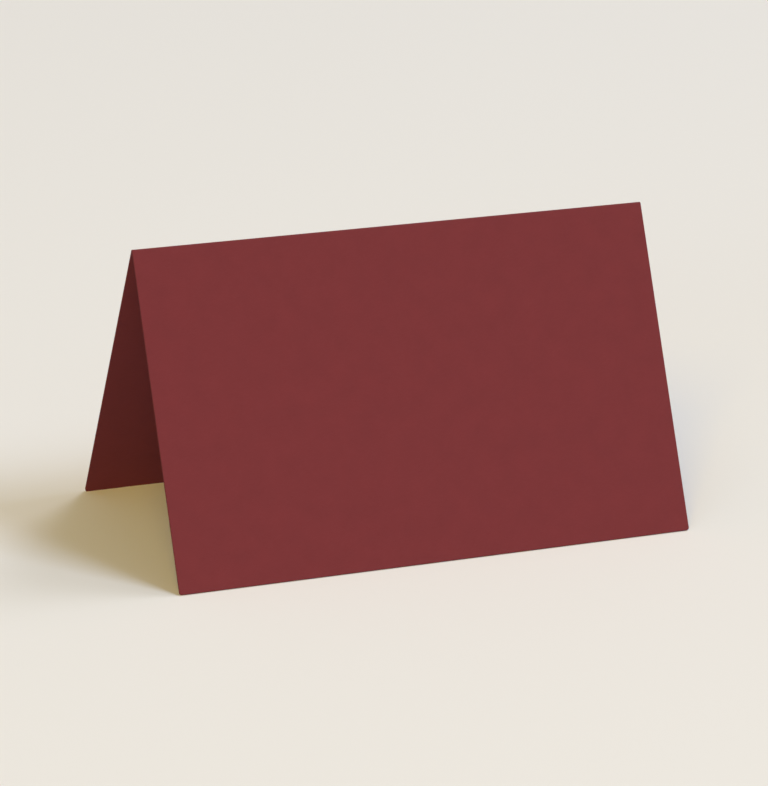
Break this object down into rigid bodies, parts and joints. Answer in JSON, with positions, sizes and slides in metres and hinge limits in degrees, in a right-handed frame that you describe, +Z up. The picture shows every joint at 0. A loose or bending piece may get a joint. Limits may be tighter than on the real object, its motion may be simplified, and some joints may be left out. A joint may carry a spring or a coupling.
{
  "type": "place card",
  "caption": "Blank tent place card: one sheet of dyed card, creased across its middle and standing on its two cut edges.",
  "frame": {"origin": "on the table, under the middle of the fold, at the centre of the footprint", "axes": "+X along the fold, +Y towards the back panel with the front panel looking to -Y, +Z up"},
  "size_m": [0.1016, 0.0554, 0.0567],
  "materials": {
    "dyed_card": "matte"
  },
  "bodies": {
    "root": {"folded_card": "dyed_card"}
  },
  "joints": []
}
